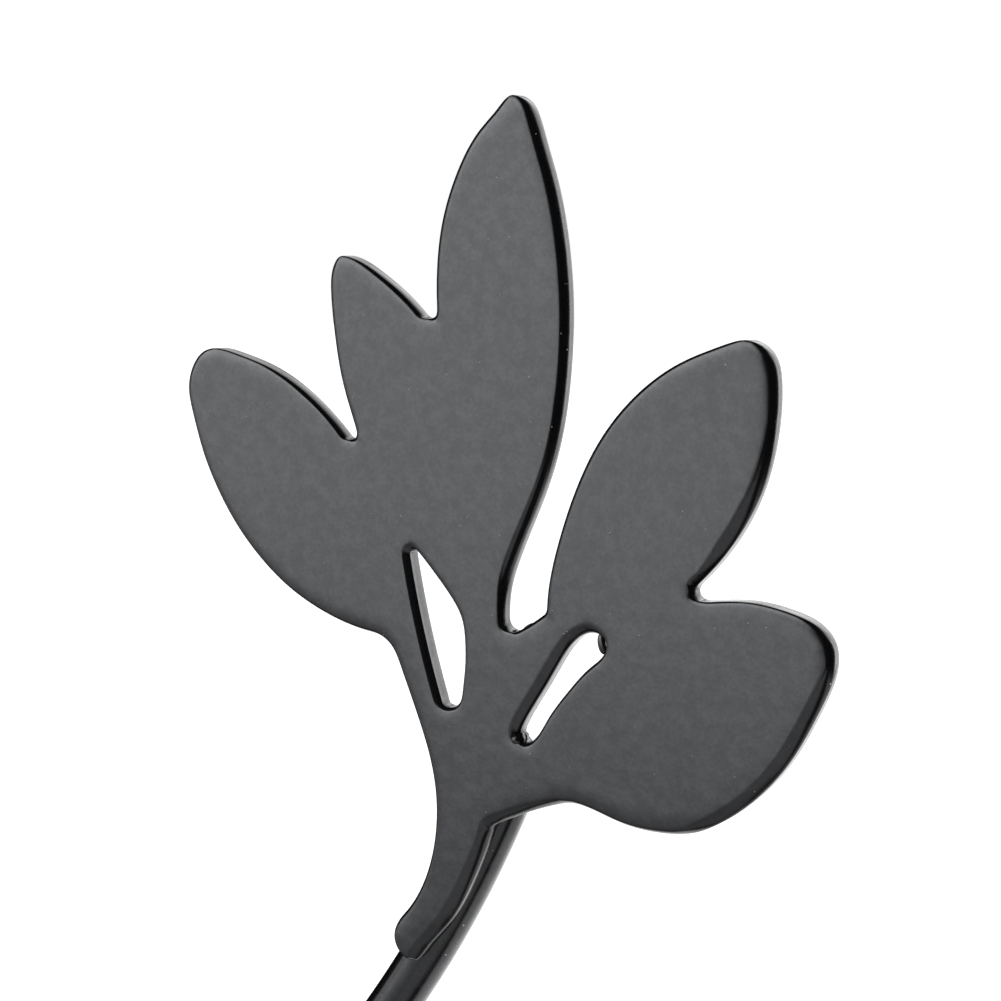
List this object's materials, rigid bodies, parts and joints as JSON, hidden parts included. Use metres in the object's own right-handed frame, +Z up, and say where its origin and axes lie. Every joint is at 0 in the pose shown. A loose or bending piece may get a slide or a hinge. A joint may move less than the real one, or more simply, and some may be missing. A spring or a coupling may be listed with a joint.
{
  "type": "plant hanging bracket",
  "caption": "Wall bracket for a hanging pot: a bent round rod on a flat wall plate, dipped to carry the pot, with a flat spray of leaves welded to its upturned end.",
  "frame": {"origin": "middle of the wall plate's back face, on the wall's surface", "axes": "+X points away from the wall along the arm, +Z up, and the leaves' front faces -Y"},
  "size_m": [0.3021, 0.022, 0.2673],
  "materials": {
    "black_powder_coat": "smooth satin black powder coat over steel"
  },
  "bodies": {
    "root": {"wall_plate": "black_powder_coat", "arm_rod": "black_powder_coat", "leaf_spray": "black_powder_coat", "weld_wall": "black_powder_coat", "weld_stem": "black_powder_coat", "weld_web_left": "black_powder_coat", "weld_web_right": "black_powder_coat", "weld_rod_end": "black_powder_coat"}
  },
  "joints": []
}
